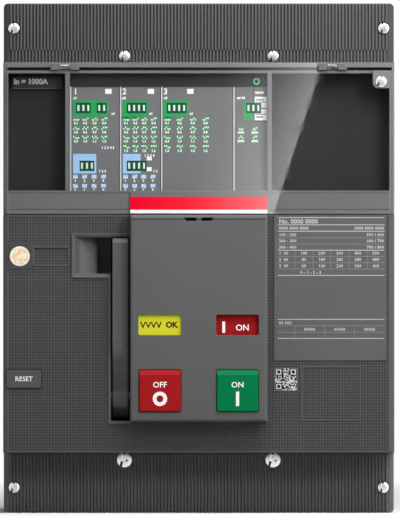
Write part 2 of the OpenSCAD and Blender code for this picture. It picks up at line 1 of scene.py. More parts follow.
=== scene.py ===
import math
import random
import bpy
import mathutils
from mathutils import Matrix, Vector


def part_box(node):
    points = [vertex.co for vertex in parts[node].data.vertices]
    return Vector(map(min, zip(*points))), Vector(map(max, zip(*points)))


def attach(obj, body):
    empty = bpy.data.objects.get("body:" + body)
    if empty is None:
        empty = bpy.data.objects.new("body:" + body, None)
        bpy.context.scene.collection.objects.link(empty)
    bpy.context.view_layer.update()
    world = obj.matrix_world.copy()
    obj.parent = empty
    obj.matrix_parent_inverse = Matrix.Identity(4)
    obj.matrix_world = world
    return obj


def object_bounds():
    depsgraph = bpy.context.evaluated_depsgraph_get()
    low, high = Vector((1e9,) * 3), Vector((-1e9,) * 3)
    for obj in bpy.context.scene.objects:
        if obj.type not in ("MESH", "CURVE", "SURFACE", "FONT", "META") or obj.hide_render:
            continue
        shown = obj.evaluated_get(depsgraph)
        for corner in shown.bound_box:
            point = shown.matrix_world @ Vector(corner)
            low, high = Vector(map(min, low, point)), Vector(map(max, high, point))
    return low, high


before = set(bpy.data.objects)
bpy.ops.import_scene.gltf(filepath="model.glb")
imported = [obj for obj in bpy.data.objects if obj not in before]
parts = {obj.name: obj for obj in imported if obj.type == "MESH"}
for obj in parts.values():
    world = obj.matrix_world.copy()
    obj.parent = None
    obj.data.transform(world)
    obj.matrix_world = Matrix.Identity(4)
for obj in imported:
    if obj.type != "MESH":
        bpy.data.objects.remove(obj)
cad_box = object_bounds()
mm = 0.001

# ---- Camera and studio ---------------------------------------------------
# The breaker stands on its lower end on a pale floor and is seen straight from
# the front through a long lens, as on a page of a catalogue.

long_lens = 1000
film_width = 36
stand_off = 7.704
# the middle of the page, a little right of the breaker's middle and below it
page_x, page_z = 0.67 * mm, -0.25 * mm
# the lips of the front shield stand in front of its flat face
lip_proud = 0.7 * mm
shield_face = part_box("front_shield")[0][1] + lip_proud
bpy.ops.object.camera_add(
    location=(page_x, shield_face - stand_off, page_z), rotation=(math.radians(90), 0, 0)
)
camera = bpy.context.object
camera.name = "catalogue_camera"
camera.data.lens = long_lens
camera.data.sensor_width = film_width
camera.data.clip_end = 60
bpy.context.scene.camera = camera
bpy.context.scene.view_settings.view_transform = "Standard"


def new_finish(name):
    """A new material, with its node tree and the plain shader that it starts with."""
    finish = bpy.data.materials.new(name)
    finish.use_nodes = True
    return finish, finish.node_tree, finish.node_tree.nodes["Principled BSDF"]


def feed(nt, node, values):
    """Fills a node's inputs: another node's output is linked, anything else is set."""
    for name, value in values.items():
        if isinstance(value, bpy.types.NodeSocket):
            nt.links.new(value, node.inputs[name])
        else:
            node.inputs[name].default_value = value


def shader(nt, kind, values=None, **settings):
    """Adds a node of a kind, with its settings, and fills its inputs."""
    node = nt.nodes.new(kind)
    for name, setting in settings.items():
        setattr(node, name, setting)
    feed(nt, node, values or {})
    return node


def maths(nt, operation, *numbers):
    """Works out one step on numbers and levels. Returns the result's output."""
    step = shader(nt, "ShaderNodeMath", dict(enumerate(numbers)), operation=operation)
    return step.outputs["Value"]


def ranged(nt, level, start, end, onto=(0, 1), smooth=False):
    """Maps a level from one range onto another. Returns the result's output."""
    span = shader(
        nt, "ShaderNodeMapRange",
        {"Value": level, "From Min": start, "From Max": end,
         "To Min": onto[0], "To Max": onto[1]},
        interpolation_type="SMOOTHSTEP" if smooth else "LINEAR",
    )
    return span.outputs["Result"]


# The floor is a round sheet of matt board that fades into the white behind. It looks
# white, and throws back about half of the light.
floor_radius = 1.6
floor_gap = 0.05 * mm
bpy.ops.object.select_all(action="DESELECT")
bpy.ops.mesh.primitive_circle_add(
    vertices=96, radius=floor_radius, fill_type="NGON",
    location=(0, 0, cad_box[0][2] - floor_gap),
)
floor = bpy.context.object
floor.name = "studio_floor"
white_board, nt, board = new_finish("white_board")
rays = shader(nt, "ShaderNodeLightPath").outputs
looked_at = maths(nt, "MAXIMUM", rays["Is Camera Ray"], rays["Is Glossy Ray"])
pale = ranged(nt, looked_at, 0, 1, onto=(0.5, 0.98))
feed(nt, board, {"Base Color": pale, "Roughness": 1, "Specular IOR Level": 0})
place = shader(nt, "ShaderNodeTexCoord").outputs["Object"]
away = shader(nt, "ShaderNodeVectorMath", {0: place}, operation="LENGTH").outputs["Value"]
clear = shader(nt, "ShaderNodeBsdfTransparent").outputs["BSDF"]
faded = shader(nt, "ShaderNodeMixShader", {
    "Fac": ranged(nt, away, 0.35, 1.1, smooth=True), 1: board.outputs["BSDF"], 2: clear,
})
feed(nt, nt.nodes["Material Output"], {"Surface": faded.outputs["Shader"]})
floor.data.materials.append(white_board)

# White surroundings, as seen directly, in gloss and through the clear cover; the
# light that they throw on the breaker is softer.
thrown, seen = 0.15, 1.0
world = bpy.data.worlds.new("white_studio")
bpy.context.scene.world = world
world.use_nodes = True
nt = world.node_tree
rays = shader(nt, "ShaderNodeLightPath").outputs
looked_at = maths(nt, "MAXIMUM", rays["Is Camera Ray"], rays["Is Glossy Ray"])
shown = maths(nt, "MAXIMUM", looked_at, rays["Is Transmission Ray"])
feed(nt, nt.nodes["Background"], {
    "Color": (1, 1, 1, 1), "Strength": ranged(nt, shown, 0, 1, onto=(thrown, seen)),
})


def soft_box(name, place, aim, size, watts, spread=180):
    """A square area lamp turned towards a point; a narrow spread is a lamp with a grid."""
    bpy.ops.object.light_add(type="AREA", location=place)
    lamp = bpy.context.object
    lamp.name = name
    lamp.data.size = size
    lamp.data.energy = watts
    lamp.data.spread = math.radians(spread)
    lamp.rotation_mode = "QUATERNION"
    towards = [a - p for a, p in zip(aim, place)]
    lamp.rotation_quaternion = mathutils.Vector(towards).to_track_quat("-Z", "Y")
    lamp.visible_camera = False


# name, place, aim and size in metres, and watts
soft_box("key_lamp", (0.5, -0.94, 0.46), (0.05, -0.16, 0.09), 0.36, 0.27, spread=36)
soft_box("top_lamp", (0.06, -0.42, 0.5), (0, -0.16, 0.06), 0.36, 2.9)
soft_box("left_lamp", (-1.3, -0.9, -0.1), (0, -0.1, 0), 0.8, 1.5)
soft_box("right_lamp", (1.2, -0.42, 0.35), (0, -0.15, 0), 0.5, 5.5)
soft_box("corner_lamp", (0.24, -0.36, 0.26), (0.09, -0.14, 0.11), 0.1, 0.48)
soft_box("back_lamp", (0.4, 1.4, 1.2), (0, 0, 0), 1.0, 14)

# A square card far in front of the breaker. It is black, with a bright sheet over
# its left part that ends in a straight slanting edge and is brightest along it. Only
# glossy surfaces see it, and the clear cover shows it as a slanting glare.
card_y = -2.6
card_side = 1.1
bpy.ops.mesh.primitive_plane_add(
    size=1, location=(0, card_y, 0), rotation=(math.radians(90), 0, 0)
)
card = bpy.context.object
card.name = "reflector_card"
card.scale = (card_side, card_side, 1)
bpy.ops.object.transform_apply(location=True, rotation=True, scale=True)
for ray in ("visible_camera", "visible_diffuse", "visible_transmission",
            "visible_shadow", "visible_volume_scatter"):
    setattr(card, ray, False)
bright_sheet, nt, skin = new_finish("bright_sheet_on_black")
nt.nodes.remove(skin)
# the edge of the glare on the cover: how it leans, and a point that it passes through
edge_lean = 0.325
edge_x, edge_z = 0.0398, 0.0242
cover_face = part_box("clear_cover")[0][1]
cover_to_eye = cover_face - camera.location.y
# the card is seen in the cover from further off, so its pattern is that much larger
larger = (cover_to_eye + cover_face - card_y) / cover_to_eye
place = shader(nt, "ShaderNodeTexCoord").outputs["Object"]
split = shader(nt, "ShaderNodeSeparateXYZ", {0: place}).outputs
lean = maths(nt, "MULTIPLY_ADD", split["Z"], -edge_lean,
             (-edge_x + edge_lean * edge_z) * larger)
past_edge = maths(nt, "ADD", split["X"], lean)
sheet = shader(nt, "ShaderNodeValToRGB",
               {"Fac": ranged(nt, past_edge, -0.12 * larger, 0.04 * larger)})
stops = sheet.color_ramp.elements
stops[0].position, stops[0].color = 0.0, (0.0, 0.0, 0.0, 1)
stops[1].position, stops[1].color = 0.75, (1, 1, 1, 1)
for at, bright in ((0.28, 0.015), (0.44, 0.07), (0.53, 0.2), (0.64, 0.5), (0.695, 0.72),
                   (0.752, 0)):
    stop = stops.new(at)
    stop.color = (bright, bright, bright, 1)
glow = shader(nt, "ShaderNodeEmission", {"Color": sheet.outputs["Color"], "Strength": 4.1})
feed(nt, nt.nodes["Material Output"], {"Surface": glow.outputs["Emission"]})
card.data.materials.append(bright_sheet)

# ---- Base and main cover -------------------------------------------------
# The two halves of the case, moulded in dark grey glass-filled polyester. The
# steel tools were spark-eroded, so the plastic has a fine, even, matt grain.


def tone(red, green, blue):
    """A finish's colour, from 0 to 255 as read off a colour fan."""
    return tuple(
        ((c / 255 + 0.055) / 1.055) ** 2.4 if c > 10 else c / 3295 for c in (red, green, blue)
    ) + (1,)


def shaded(colour, by):
    """The same colour, lighter or darker by a factor."""
    return tuple(min(1, c * by) for c in colour[:3]) + (1,)


def noise(nt, place, scale, detail):
    """Cloudy noise of a scale. Returns its level's output."""
    cloud = shader(nt, "ShaderNodeTexNoise",
                   {"Vector": place, "Scale": scale, "Detail": detail})
    return cloud.outputs["Fac"]


def blend(nt, factor, first, second, **settings):
    """A colour between two. Returns its output."""
    mix = shader(nt, "ShaderNodeMix", {"Factor": factor, "A": first, "B": second},
                 data_type="RGBA", **settings)
    return mix.outputs["Result"]


def moulded_plastic(name, colour, grain=0.45, roughness=0.55, depth=0.4, wear_and_highlight=0.25,
                    sheen=0.17, soft_edge=0.35):
    """Moulded plastic: grain size and edge radius in mm, and how much lighter the edges are,
    as wear and as a painted highlight.
    """
    finish, nt, skin = new_finish(name)
    place = shader(nt, "ShaderNodeTexCoord").outputs["Object"]
    # cloudy variation of the colour, a few centimetres across
    cloud = noise(nt, place, 28, 4)
    tint = blend(nt, cloud, shaded(colour, 0.93), shaded(colour, 1.07))
    # edges painted lighter, as wear and as a painted highlight, found from how the rounded
    # normal turns from the flat one
    rounded = shader(nt, "ShaderNodeBevel", {"Radius": soft_edge * mm}, samples=4)
    flat = shader(nt, "ShaderNodeNewGeometry")
    turn = shader(nt, "ShaderNodeVectorMath",
                  {0: rounded.outputs["Normal"], 1: flat.outputs["Normal"]},
                  operation="DOT_PRODUCT")
    edge_wear_and_highlight = ranged(nt, turn.outputs["Value"], 0.995, 0.8, onto=(0, wear_and_highlight))
    # spark-eroded grain, which also breaks up the gloss
    bump = shader(nt, "ShaderNodeBump", {
        "Strength": depth, "Distance": 0.06 * mm,
        "Height": noise(nt, place, 1000 / grain, 2), "Normal": rounded.outputs["Normal"],
    })
    feed(nt, skin, {
        "Base Color": blend(nt, edge_wear_and_highlight, tint, shaded(colour, 2.2)),
        "Roughness": ranged(nt, cloud, 0, 1, onto=(roughness - 0.06, roughness + 0.08)),
        "Specular IOR Level": sheen, "Normal": bump.outputs["Normal"],
    })
    return finish


def finish_part(node, finish):
    """Gives one CAD part its finish."""
    parts[node].data.materials.clear()
    parts[node].data.materials.append(finish)


case_polyester = moulded_plastic("case_polyester", tone(62, 63, 65), grain=0.6, depth=0.5)
finish_part("base", case_polyester)
finish_part("main_cover", case_polyester)

# ---- Terminals -----------------------------------------------------------
# Six silver-plated copper bars with two bolt holes each, pushed into the bays. They
# are cut from drawn bar, so fine lines run along their faces.


def metal(name, colour, roughness, brush=0.0, patch=0.1):
    """Plated or bare metal with patches of finer and coarser polish."""
    finish, nt, skin = new_finish(name)
    place = shader(nt, "ShaderNodeTexCoord").outputs["Object"]
    drawn = shader(nt, "ShaderNodeMapping", {"Vector": place, "Scale": (1, 1, 12)})
    cloud = noise(nt, drawn.outputs["Vector"], 700, 3)
    bump = shader(nt, "ShaderNodeBump",
                  {"Strength": 0.08 + brush, "Distance": 0.03 * mm, "Height": cloud})
    feed(nt, skin, {
        "Base Color": blend(nt, cloud, shaded(colour, 0.88), shaded(colour, 1.06)),
        "Roughness": ranged(nt, cloud, 0, 1, onto=(roughness, roughness + patch)),
        "Metallic": 1, "Normal": bump.outputs["Normal"],
    })
    return finish


plated_copper = metal("plated_copper", tone(214, 190, 160), 0.28, brush=0.1)
for row in ("upper", "lower"):
    for pole in (1, 2, 3):
        finish_part(f"{row}_terminal_{pole}", plated_copper)

# ---- Ribbed terminal covers ----------------------------------------------
# Covers over the terminals, moulded with fine upright ribs. The colour is painted
# darker in the valleys between the ribs as shade, and lighter on the crests as a highlight.


def scaled(nt, colour, by):
    """A colour made lighter or darker by a level. Returns its output."""
    scale = shader(nt, "ShaderNodeVectorMath", {0: colour, "Scale": by}, operation="SCALE")
    return scale.outputs["Vector"]


def ribbed_plastic(name, colour, valley, crest):
    """Moulded plastic whose colour is scaled from valley to crest: painted shade and painted
    highlight on the ribs.
    """
    finish = moulded_plastic(name, colour, grain=0.4, depth=0.25, wear_and_highlight=0.0)
    nt = finish.node_tree
    skin = nt.nodes["Principled BSDF"]
    was = skin.inputs["Base Color"].links[0].from_socket
    place = shader(nt, "ShaderNodeTexCoord").outputs["Object"]
    split = shader(nt, "ShaderNodeSeparateXYZ", {0: place}).outputs
    crest_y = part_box("top_cover")[0][1]
    # painted shade and highlight: the colour is scaled by how deep the rib's surface lies
    height = ranged(nt, split["Y"], crest_y + 0.9 * mm, crest_y, onto=(valley, crest))
    feed(nt, skin, {"Base Color": scaled(nt, was, height)})
    return finish


upper_ribs = ribbed_plastic("upper_ribs", tone(79, 79, 80), valley=0.62, crest=1.2)
# painted light: the lower covers get a lighter tone than the upper ones, to lift the shade
# that the front shield throws on them
lower_ribs_painted_lighter = ribbed_plastic("lower_ribs_painted_lighter", tone(102, 102, 103), valley=1.04, crest=1.02)
finish_part("top_cover", upper_ribs)
finish_part("rib_strip", upper_ribs)
finish_part("bottom_cover", lower_ribs_painted_lighter)

# ---- Cover screws --------------------------------------------------------
# Zinc-plated steel pan-head screws, slotted. They hold the terminal covers and the
# trip unit's cover, and sit in small round seats. The slots are painted dark as shade.

zinc = metal("zinc_plate", tone(226, 227, 228), 0.26, brush=0.02, patch=0.1)
# painted light: a lighter copy of the zinc for the large screws, which sit in the shade of the
# front shield
zinc_painted_lighter = metal("zinc_painted_lighter", tone(250, 250, 251), 0.36, brush=0.02, patch=0.08)
# dark zinc that paints the shade in the slots and in the dent
painted_slot_shade = metal("painted_slot_shade", tone(52, 52, 54), 0.5, brush=0.05)


def only(piece):
    """Selects one piece and nothing else, and makes it the active one."""
    bpy.ops.object.select_all(action="DESELECT")
    piece.select_set(True)
    bpy.context.view_layer.objects.active = piece


def carve(piece, cutter, film):
    """Cuts a cutter's shape out of a piece, lays a film on the cut, and removes the cutter."""
    cutter.data.materials.append(film)
    only(piece)
    cut = piece.modifiers.new("cut", "BOOLEAN")
    cut.object = cutter
    cut.solver = "EXACT"
    cut.material_mode = "TRANSFER"
    bpy.ops.object.modifier_apply(modifier="cut")
    bpy.data.objects.remove(cutter)


# the head's side in mm, and the dome's steps: inward as a share of the head, up in mm
head_height = 1.5
dome_steps = ((0.09, 0.28), (0.12, 0.12))
head_top = head_height / 2 + sum(up for inward, up in dome_steps)
screw_masters = {}
for size, head, plating in (("small", 5.8, zinc), ("large", 8.0, zinc_painted_lighter)):
    bpy.ops.object.select_all(action="DESELECT")
    bpy.ops.mesh.primitive_cylinder_add(
        vertices=48, radius=head / 2 * mm, depth=head_height * mm, location=(0, 0, 0)
    )
    screw = bpy.context.object
    bpy.ops.object.mode_set(mode="EDIT")
    bpy.ops.mesh.select_mode(type="FACE")
    bpy.ops.mesh.select_all(action="DESELECT")
    bpy.ops.object.mode_set(mode="OBJECT")
    for face in screw.data.polygons:
        face.select = face.normal.z > 0.9
    bpy.ops.object.mode_set(mode="EDIT")
    for inward, up in dome_steps:
        bpy.ops.mesh.inset(thickness=head * inward * mm)
        bpy.ops.transform.translate(value=(0, 0, up * mm))
    bpy.ops.object.mode_set(mode="OBJECT")
    screw.data.materials.append(plating)
    # a slot left of the middle: a shallow groove, cut deeper at both ends, where it is painted
    # dark as shade
    slot_x = -0.14 * head
    slot_width = 0.16 * head
    for low, high, deep, film in (
        (-0.6 * head, 0.6 * head, 0.3, plating),
        (-0.6 * head, -0.13 * head, 1.0, painted_slot_shade),
        (0.33 * head, 0.6 * head, 0.8, painted_slot_shade),
    ):
        bpy.ops.object.select_all(action="DESELECT")
        bpy.ops.mesh.primitive_cube_add(size=1, location=(0, 0, 0))
        cutter = bpy.context.object
        cutter.scale = (slot_width * mm, (high - low) * mm, 2 * deep * mm)
        cutter.location = (slot_x * mm, (low + high) / 2 * mm, head_top * mm)
        bpy.ops.object.transform_apply(location=True, rotation=True, scale=True)
        carve(screw, cutter, film)
    if size == "large":
        # a small dent from the driver beside the slot, painted dark as shade
        bpy.ops.object.select_all(action="DESELECT")
        bpy.ops.mesh.primitive_cone_add(
            vertices=16, radius1=0.02 * head * mm, radius2=0.09 * head * mm, depth=0.5 * mm,
            location=(0.17 * head * mm, 0, (head_top - 0.1) * mm),
        )
        carve(screw, bpy.context.object, painted_slot_shade)
    soften = screw.modifiers.new("soften", "BEVEL")
    soften.width = 0.09 * mm
    soften.segments = 2
    soften.limit_method = "ANGLE"
    soften.angle_limit = math.radians(40)
    bpy.ops.object.modifier_apply(modifier="soften")
    bpy.ops.object.shade_smooth_by_angle(angle=math.radians(35))
    screw_masters[size] = screw

on_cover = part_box("top_cover")[0][1] + 0.35 * mm
on_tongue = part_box("trip_frame")[0][1] + 0.1 * mm
# name, size, place across and up in mm from the middle, seat, turn of the slot
screw_places = (
    ("trip_cover_screw", "small", 97.8, 94.5, on_tongue, 24),
    ("top_left_screw", "small", -99.5, 123.5, on_cover, 9),
    ("top_right_screw", "small", 99.5, 123.5, on_cover, 6),
    ("bottom_left_screw", "small", -99.3, -123.5, on_cover, 14),
    ("bottom_right_screw", "small", 99.3, -123.5, on_cover, 11),
    ("inner_top_left_screw", "small", -40, 108.5, on_cover, 8),
    ("inner_top_right_screw", "small", 40, 108.5, on_cover, 7),
    ("inner_bottom_left_screw", "large", -40, -108.6, on_cover, 13),
    ("inner_bottom_right_screw", "large", 40, -108.6, on_cover, 16),
)
for name, size, x, z, seat, turn in screw_places:
    only(screw_masters[size])
    bpy.ops.object.duplicate(linked=False)
    screw = bpy.context.object
    screw.name = name
    screw.rotation_euler = (math.radians(90), math.radians(turn), 0)
    screw.location = (x * mm, seat, z * mm)
    bpy.ops.object.transform_apply(location=True, rotation=True, scale=True)
    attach(screw, "case")
for master in screw_masters.values():
    bpy.data.objects.remove(master)

# ---- Front shield --------------------------------------------------------
# The wide plate over the mechanism. Its flat field is moulded with a fine square
# lattice that hides fingerprints; the lips, the recess and the edges are smooth.

lattice_pitch = 1.535
# the lattice stops short of the sides and of the lower edge
smooth_side, smooth_foot = 3.2 * mm, 1.4 * mm
# and goes on over the floor of the pocket that the blank is in
pocket_depth = 0.5 * mm


def lattice_plastic(name, colour, field_y, field_edge, field_foot, pitch, dimple, ridge):
    """Moulded plastic with rows of square dimples on the face and in its pocket, with painted
    shade in the dimples and a painted highlight on the ridges.
    """
    finish = moulded_plastic(name, colour, grain=0.5, depth=0.3, wear_and_highlight=0.7)
    nt = finish.node_tree
    skin = nt.nodes["Principled BSDF"]
    was_colour = skin.inputs["Base Color"].links[0].from_socket
    was_normal = skin.inputs["Normal"].links[0].from_socket
    place = shader(nt, "ShaderNodeTexCoord").outputs["Object"]
    split = shader(nt, "ShaderNodeSeparateXYZ", {0: place}).outputs
    # 0 in the middle of a dimple, 1 on the ridge between two
    half = pitch / 2 * mm
    waves = [
        maths(nt, "DIVIDE", maths(nt, "PINGPONG", split[across], half), half)
        for across in ("X", "Z")
    ]
    soft = ranged(nt, maths(nt, "MAXIMUM", *waves), 0.72, 0.98, smooth=True)
    off_face = maths(nt, "ABSOLUTE", maths(nt, "SUBTRACT", split["Y"], field_y))
    off_pocket = maths(nt, "ABSOLUTE",
                       maths(nt, "SUBTRACT", split["Y"], field_y + pocket_depth))
    on_face = maths(nt, "LESS_THAN", maths(nt, "MINIMUM", off_face, off_pocket), 0.05 * mm)
    inside = maths(nt, "LESS_THAN", maths(nt, "ABSOLUTE", split["X"]), field_edge)
    above = maths(nt, "GREATER_THAN", split["Z"], field_foot)
    on_field = maths(nt, "MULTIPLY", maths(nt, "MULTIPLY", on_face, inside), above)
    # painted shade in the dimples and a painted highlight on the ridges
    level = ranged(nt, soft, 0, 1, onto=(dimple, ridge))
    painted_dimple_shade = maths(nt, "MULTIPLY", maths(nt, "SUBTRACT", level, 1), on_field)
    factor = maths(nt, "ADD", painted_dimple_shade, 1)
    # the lip in front of the face is painted lighter, as a painted highlight, and the
    # slope of the recess behind the face is painted lighter, as painted light
    in_front = maths(nt, "LESS_THAN", split["Y"], field_y - 0.3 * mm)
    painted_lip_light = maths(nt, "MULTIPLY_ADD", in_front, 0.14, 1.0)
    painted_recess_light = ranged(nt, split["Y"], field_y + 1.0 * mm, field_y + 2.5 * mm,
                      onto=(1.0, 1.6), smooth=True)
    # the painted light on the lip and in the recess, together
    smooth = maths(nt, "MULTIPLY", painted_lip_light, painted_recess_light)
    bump = shader(nt, "ShaderNodeBump", {
        "Strength": 0.5, "Distance": 0.25 * mm,
        "Height": maths(nt, "MULTIPLY", soft, on_field), "Normal": was_normal,
    })
    feed(nt, skin, {
        "Base Color": scaled(nt, was_colour, maths(nt, "MULTIPLY", factor, smooth)),
        "Normal": bump.outputs["Normal"],
    })
    return finish


shield_lattice = lattice_plastic(
    "shield_lattice", tone(83, 83, 83), field_y=shield_face,
    field_edge=cad_box[1][0] - smooth_side,
    field_foot=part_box("front_shield")[0][2] + smooth_foot,
    pitch=lattice_pitch, dimple=0.46, ridge=1.15,
)
finish_part("front_shield", shield_lattice)

# ---- Trip unit frame -----------------------------------------------------
# The housing and the bezel round the trip unit, in a lighter smooth grey, with a
# plain band below the windows and a tongue for the screw at the upper right.

bezel_grey = moulded_plastic("bezel_grey", tone(110, 110, 111), grain=0.35, depth=0.2)
housing_black = moulded_plastic("housing_black", tone(84, 84, 86), grain=0.6, depth=0.4)
finish_part("trip_frame", bezel_grey)
finish_part("trip_housing", housing_black)

# ---- Dark windows and rating plate ---------------------------------------
# Two dark smooth pockets beside the trip unit, with a small plate in the left one
# that carries a plain current rating.

window_black = moulded_plastic("window_black", tone(47, 47, 48), grain=0.8, depth=0.1,
                               roughness=0.35)
plate_black = moulded_plastic("plate_black", tone(70, 70, 71), grain=0.3, depth=0.1,
                              roughness=0.4, wear_and_highlight=1.6)
finish_part("left_window", window_black)
finish_part("right_window", window_black)
finish_part("rating_plate", plate_black)


def printing_ink(name, colour, patchy=0.06, sheen=0.2):
    """Screen-printed ink: even, satin, with a slightly patchy film."""
    finish, nt, skin = new_finish(name)
    place = shader(nt, "ShaderNodeTexCoord").outputs["Object"]
    film = noise(nt, place, 1400, 3)
    feed(nt, skin, {
        "Base Color": blend(nt, film, shaded(colour, 1 - patchy), shaded(colour, 1 + patchy)),
        "Roughness": ranged(nt, film, 0, 1, onto=(0.42, 0.58)),
        "Specular IOR Level": sheen,
    })
    return finish


white_ink = printing_ink("white_ink", tone(246, 246, 244))
soft_white_ink = printing_ink("soft_white_ink", tone(184, 184, 184))
grey_ink = printing_ink("grey_ink", tone(138, 138, 138))
black_ink = printing_ink("black_ink", tone(14, 14, 14))

# a capital's height as a share of the type size, and the inks' thickness in mm
capital_share = 0.7
letter_film, patch_film = 0.02, 0.04


def letters(words, x, z, height, face_y, fat=0.0, align="LEFT", smooth=2):
    """Printed words or figures on a face, height of a capital in mm. Returns the piece."""
    bpy.ops.object.select_all(action="DESELECT")
    bpy.ops.object.text_add(location=(0, 0, 0))
    text = bpy.context.object
    text.data.body = words
    text.data.size = height / capital_share * mm
    text.data.align_x = align
    text.data.resolution_u = smooth
    text.data.offset = fat * mm
    text.data.extrude = letter_film * mm
    bpy.ops.object.convert(target="MESH")
    text = bpy.context.object
    text.rotation_euler = (math.radians(90), 0, 0)
    text.location = (x * mm, face_y - letter_film * mm, z * mm)
    bpy.ops.object.transform_apply(location=True, rotation=True, scale=True)
    return text


def thicken(by):
    """Gives the flat mesh that is being edited its thickness, and ends the editing."""
    bpy.ops.mesh.select_all(action="SELECT")
    bpy.ops.mesh.extrude_region_move(TRANSFORM_OT_translate={"value": by})
    bpy.ops.mesh.select_all(action="SELECT")
    bpy.ops.mesh.normals_make_consistent(inside=False)
    bpy.ops.object.mode_set(mode="OBJECT")


def patches(shapes, face_y, proud=patch_film):
    """Printed rectangles on a face, each (left, right, bottom, top) in mm, as one piece."""
    bpy.ops.object.select_all(action="DESELECT")
    piece = None
    for left, right, bottom, top in shapes:
        bpy.ops.mesh.primitive_plane_add(size=mm, location=(0, 0, 0))
        if piece is None:
            piece = bpy.context.object
            bpy.ops.object.mode_set(mode="EDIT")
        bpy.ops.transform.resize(value=(right - left, top - bottom, 1),
                                 center_override=(0, 0, 0))
        bpy.ops.transform.rotate(value=math.radians(-90), orient_axis="X",
                                 center_override=(0, 0, 0))
        bpy.ops.transform.translate(
            value=((left + right) / 2 * mm, face_y, (bottom + top) / 2 * mm)
        )
    thicken((0, -proud * mm, 0))
    return piece


def one_print(name, pieces, ink, body="case"):
    """Joins printed pieces to one, inks it and fixes it to its body."""
    bpy.ops.object.select_all(action="DESELECT")
    for piece in pieces:
        piece.select_set(True)
    bpy.context.view_layer.objects.active = pieces[0]
    if len(pieces) > 1:
        bpy.ops.object.join()
    piece = bpy.context.object
    piece.name = name
    piece.data.materials.clear()
    piece.data.materials.append(ink)
    for face in piece.data.polygons:
        face.material_index = 0
    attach(piece, body)


plate_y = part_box("rating_plate")[0][1]
one_print("current_rating", [letters("In = 1000A", -99.4, 93.5, 2.8, plate_y, fat=0.22)],
          white_ink)
one_print("rating_rule", [patches([(-100.6, -76.2, 90.8, 91.1)], plate_y)],
          printing_ink("rule_grey", tone(112, 112, 112)))

# ---- Trip unit face ------------------------------------------------------
# A grey moulded plate with printed columns of settings: a number and a white mark
# at the head of each, tables of switch codes with their values, and white rules
# beside the grooves. Over it a glossy black header carries a green lamp ring.

face_grey = moulded_plastic("face_grey", tone(112, 112, 114), grain=0.3, depth=0.12,
                            roughness=0.5)
header_black = moulded_plastic("header_black", tone(46, 46, 48), grain=0.3, depth=0.1,
                               roughness=0.35)
finish_part("trip_unit", face_grey)
finish_part("trip_header", header_black)

face_low, face_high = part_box("trip_unit")
face_left, face_y, face_bottom = face_low[0] / mm, face_low[1], face_low[2] / mm
face_top = face_high[2] / mm
# each column's rule stands right of its groove; the first one has the plate's edge
rule_width = 0.45
rule_left = [face_left + 0.3] + [groove + 0.7 for groove in (-42.8, -20.8, 18.0)]
column_rules = [(x, x + rule_width, face_bottom, face_top) for x in rule_left]
marks = [(left, left + 3.4, 88.1, 90.8) for left in (-50.2, -27.4, -6.2)]
marks += [(30.0, 36.5, 83.3, 86.6), (33.6, 36.5, 80.6, 83.3), (33.6, 36.5, 77.6, 79.9),
          (30.0, 36.5, 73.9, 77.6)]
marks += [(-27.9, -25.2, 52.4, 54.4), (-27.9, -25.2, 46.6, 48.8)]
head = [
    letters(number, x, 87.9, 3.1, face_y, fat=0.12)
    for number, x in (("1", -67.2), ("2", -41.0), ("3", -18.9))
]
one_print("face_marks", [patches(marks, face_y)] + head, white_ink)
one_print("column_rules", [patches(column_rules, face_y)],
          printing_ink("rule_white", tone(236, 237, 238)))
# prints that lie on another print are raised from it
over_print = face_y - 0.03 * mm
one_print(
    "face_dark_rules",
    [patches([(29.4, 29.8, 73.6, 91.2), (29.4, 36.8, 73.2, 73.7), (30.2, 36.2, 83.5, 83.9),
              (30.2, 36.2, 77.0, 77.4), (30.6, 34.6, 75.4, 76.0), (30.6, 35.0, 84.6, 85.2)],
             over_print)],
    printing_ink("rule_dark", tone(66, 66, 66)),
)

# green and pale blue grounds round the switch banks
green_ink = printing_ink("green_ink", tone(34, 160, 86))
blue_ink = printing_ink("blue_ink", tone(158, 200, 240))


def ground_round(left, right, low, high, banks, bank_low, bank_high):
    """The parts of a printed ground that lie round its switch banks, given left to right."""
    edges = [left] + [x for bank in banks for x in bank] + [right]
    shapes = [(left, right, low, bank_low), (left, right, bank_high, high)]
    shapes += [(a, b, bank_low, bank_high) for a, b in zip(edges[::2], edges[1::2])]
    return [(a, b, c, d) for a, b, c, d in shapes if b - a > 0.05 and d - c > 0.05]


upper_bank, lower_bank = (77.68, 83.28), (46.67, 52.27)
grounds = []
for left, right, low, high, banks in (
    (-67.6, -48.6, 76.4, 84.5, [(-65.91, -57.96), (-54.78, -49.48)]),
    (-40.9, -27.2, 76.4, 84.5, [(-38.67, -28.07)]),
    (-18.9, -5.6, 76.4, 84.5, [(-17.15, -6.55)]),
    (24.0, 29.6, 74.4, 84.0, [(25.35, 33.3)]),
):
    grounds += ground_round(left, right, low, high, banks, *upper_bank)
grounds += [(-60.3, -57.3, 75.0, 76.4), (-40.9, -31.5, 75.2, 76.4), (-18.9, -13.5, 75.2, 76.4)]
one_print("green_grounds", [patches(grounds, face_y)], green_ink)
blues = ground_round(-67.5, -55.0, 45.4, 55.9, [(-64.0, -56.06)], *lower_bank)
blues += ground_round(-40.7, -31.2, 45.4, 55.9, [(-38.67, -28.07)], *lower_bank)
one_print("blue_grounds", [patches(blues, face_y)], blue_ink)

# code tables: each cell shows which way a bank's switches stand, with its value under it
tables = (
    # left edges of the cells, rows by height, switches, ink
    ((-67.5, -62.6, -57.5, -52.4), (74.6, 69.7, 64.8), 4, "green"),
    ((-40.6, -35.7, -30.9, -25.9), (74.6, 69.7, 64.8, 59.7), 4, "green"),
    ((-18.6, -11.9, -4.8, 2.0), (74.6, 69.7, 64.8, 59.7), 4, "green"),
    ((21.4, 28.9), (69.5, 64.9), 3, "green"),
    ((-67.5, -62.6, -57.5, -52.4), (43.7, 38.7), 3, "blue"),
    ((-40.6, -35.7, -30.9, -25.9), (43.7, 38.7), 3, "blue"),
)
